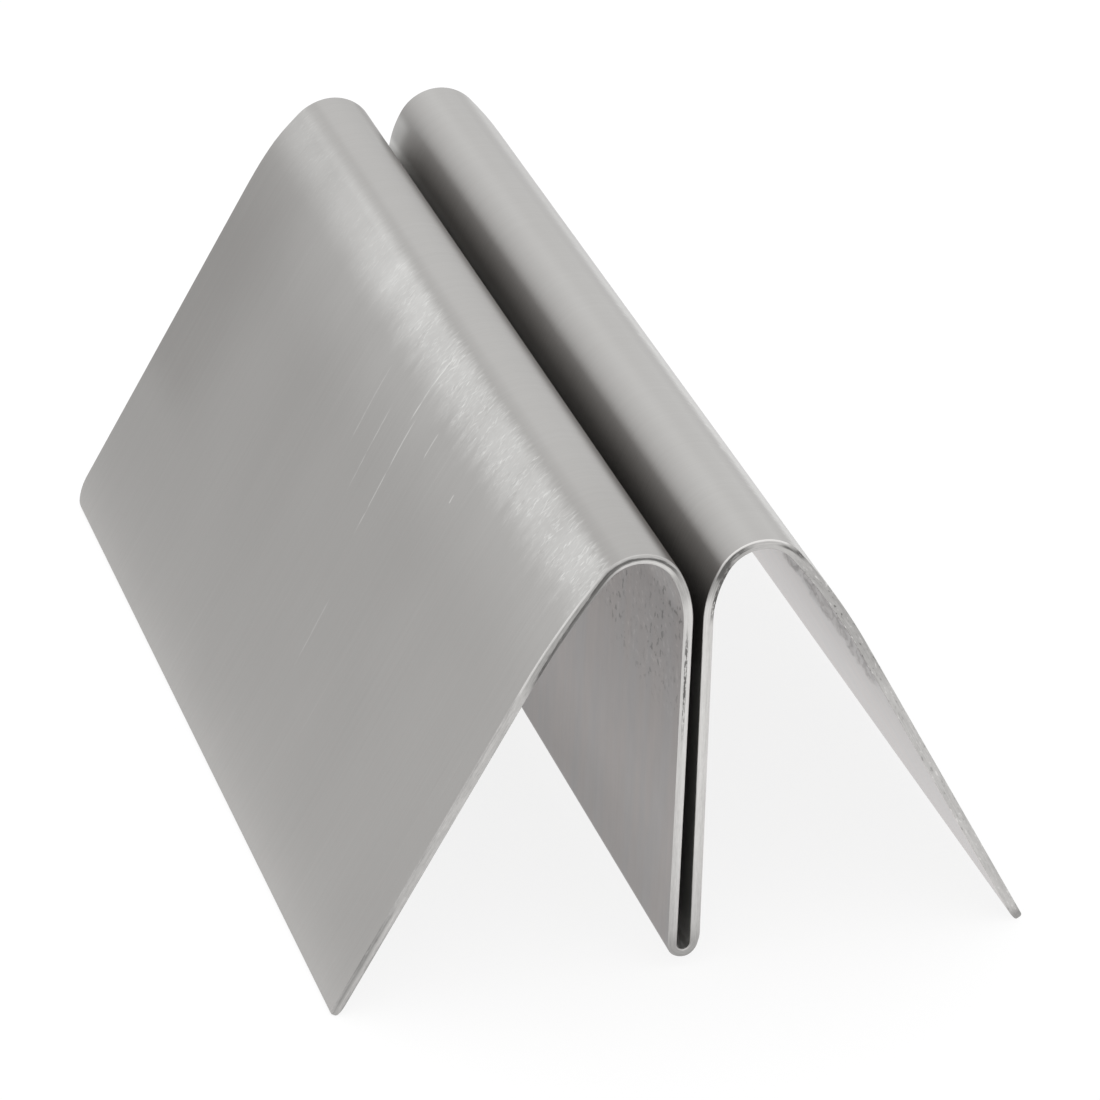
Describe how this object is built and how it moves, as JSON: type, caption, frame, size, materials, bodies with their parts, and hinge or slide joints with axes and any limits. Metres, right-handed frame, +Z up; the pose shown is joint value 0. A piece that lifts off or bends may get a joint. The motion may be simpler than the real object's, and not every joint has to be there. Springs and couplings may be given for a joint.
{
  "type": "menu holder",
  "caption": "Free-standing table menu holder folded from a single brushed stainless strip, with leaning legs, rounded crests and a narrow slot that grips a card upright.",
  "frame": {"origin": "on the table, under the middle of the slot, halfway along it", "axes": "+X across the holder from the left leg to the right leg, +Y along the slot from the front end to the rear end, +Z up"},
  "size_m": [0.064, 0.1, 0.0418],
  "materials": {
    "brushed_sheet": "satin stainless, brushed along the strip from leg to leg, with bare sheared edges"
  },
  "bodies": {
    "root": {"folded_sheet": "brushed_sheet"}
  },
  "joints": []
}
